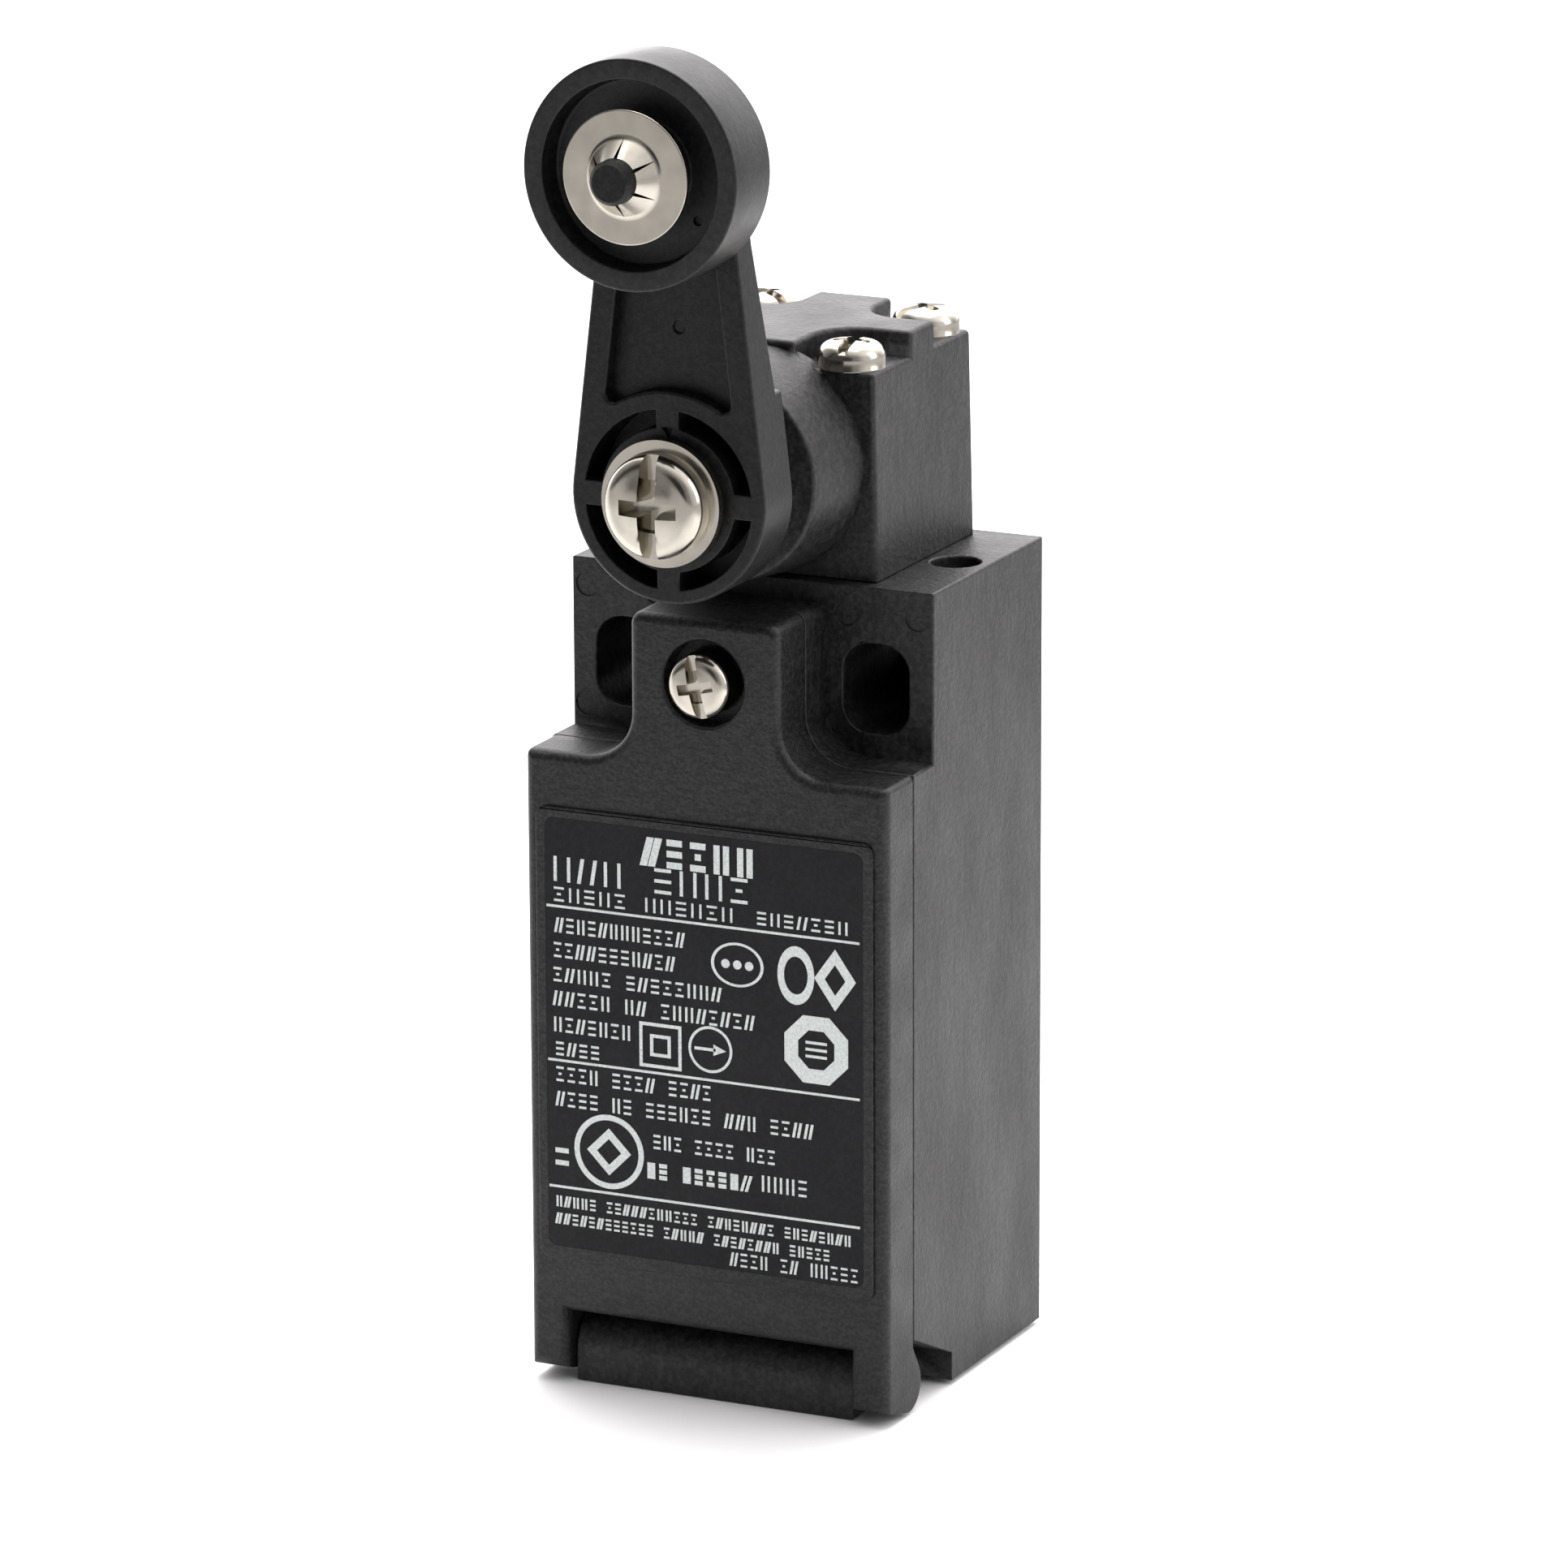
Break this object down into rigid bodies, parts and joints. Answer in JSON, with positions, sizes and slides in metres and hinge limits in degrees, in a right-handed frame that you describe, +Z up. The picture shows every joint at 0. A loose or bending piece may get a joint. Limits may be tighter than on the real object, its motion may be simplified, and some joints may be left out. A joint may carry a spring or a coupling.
{
  "type": "roller lever limit switch",
  "caption": "Compact safety limit switch: plastic case with hinged front cover, bolted head, swinging lever with roller, sprung plunger and double-break contacts inside.",
  "frame": {"origin": "midway between the two mounting slots, on the flat back face", "axes": "+Z up along the case towards the roller, +Y out of the back face into the surface the switch is bolted to, the cover and lever face -Y, +X to the right seen from the front"},
  "size_m": [0.0308, 0.0449, 0.1079],
  "materials": {
    "case_plastic": "glass-filled, fine vertical grain",
    "cover_plastic": "glass-filled, fine horizontal grain",
    "lever_plastic": "smooth satin",
    "roller_plastic": "smooth satin",
    "label_film": "smooth matt with plain pale marks",
    "block_plastic": "smooth",
    "carrier_plastic": "smooth",
    "plated_steel": "warm nickel plate",
    "steel": "machined",
    "brass": "stamped",
    "bronze": "sintered",
    "silver": "riveted contact silver",
    "rubber": "moulded"
  },
  "bodies": {
    "switch_body": {"case": "case_plastic", "cover_screw_insert": "brass", "contact_block": "block_plastic", "contact_block_lid": "block_plastic", "block_screws": "plated_steel", "terminals": "brass", "fixed_contacts": "silver", "clamp_washers": "plated_steel", "terminal_screws": "plated_steel", "carrier_spring": "steel", "plunger_guide": "case_plastic", "head_gasket": "rubber", "head": "case_plastic", "head_screws": "plated_steel", "shaft_bush": "bronze", "shaft_seal": "rubber", "lever_spring": "steel"},
    "lever": {"shaft": "steel", "shaft_clip": "steel", "cam": "steel", "lever": "lever_plastic", "spring_washer": "plated_steel", "flat_washer": "plated_steel", "lever_screw": "plated_steel", "roller_pin": "lever_plastic", "roller_retainer": "plated_steel"},
    "roller": {"roller": "roller_plastic"},
    "contact_carrier": {"contact_carrier": "carrier_plastic", "moving_contacts": "brass", "contact_buttons": "silver", "contact_springs": "steel"},
    "plunger": {"plunger": "lever_plastic"},
    "cover": {"cover": "cover_plastic", "label": "label_film", "cover_packing": "rubber", "cover_screw": "plated_steel"}
  },
  "joints": [
    {"name": "lever_swing", "type": "hinge", "parent": "switch_body", "child": "lever", "pos_m": [0, -0.03, 0.0169], "axis": [0, 1, 0], "range_deg": [-70, 70], "stiffness_Nm_per_rad": 0.25},
    {"name": "roller_spin", "type": "hinge", "parent": "lever", "child": "roller", "pos_m": [0, -0.0385, 0.04275], "axis": [0, 1, 0], "continuous": true},
    {"name": "contact_travel", "type": "slide", "parent": "switch_body", "child": "contact_carrier", "axis": [0, 0, -1], "range_m": [0, 0.0032], "stiffness_N_per_m": 400, "springref_m": -0.004, "deforming": ["carrier_spring"]},
    {"name": "plunger_travel", "type": "slide", "parent": "switch_body", "child": "plunger", "axis": [0, 0, -1], "range_m": [0, 0.0032]},
    {"name": "cover_swing", "type": "hinge", "parent": "switch_body", "child": "cover", "pos_m": [0, -0.0253, -0.0541], "axis": [1, 0, 0], "range_deg": [0, 100]}
  ],
  "couplings": [
    {"joint": "plunger_travel", "follows": "contact_travel", "ratio": 1}
  ]
}
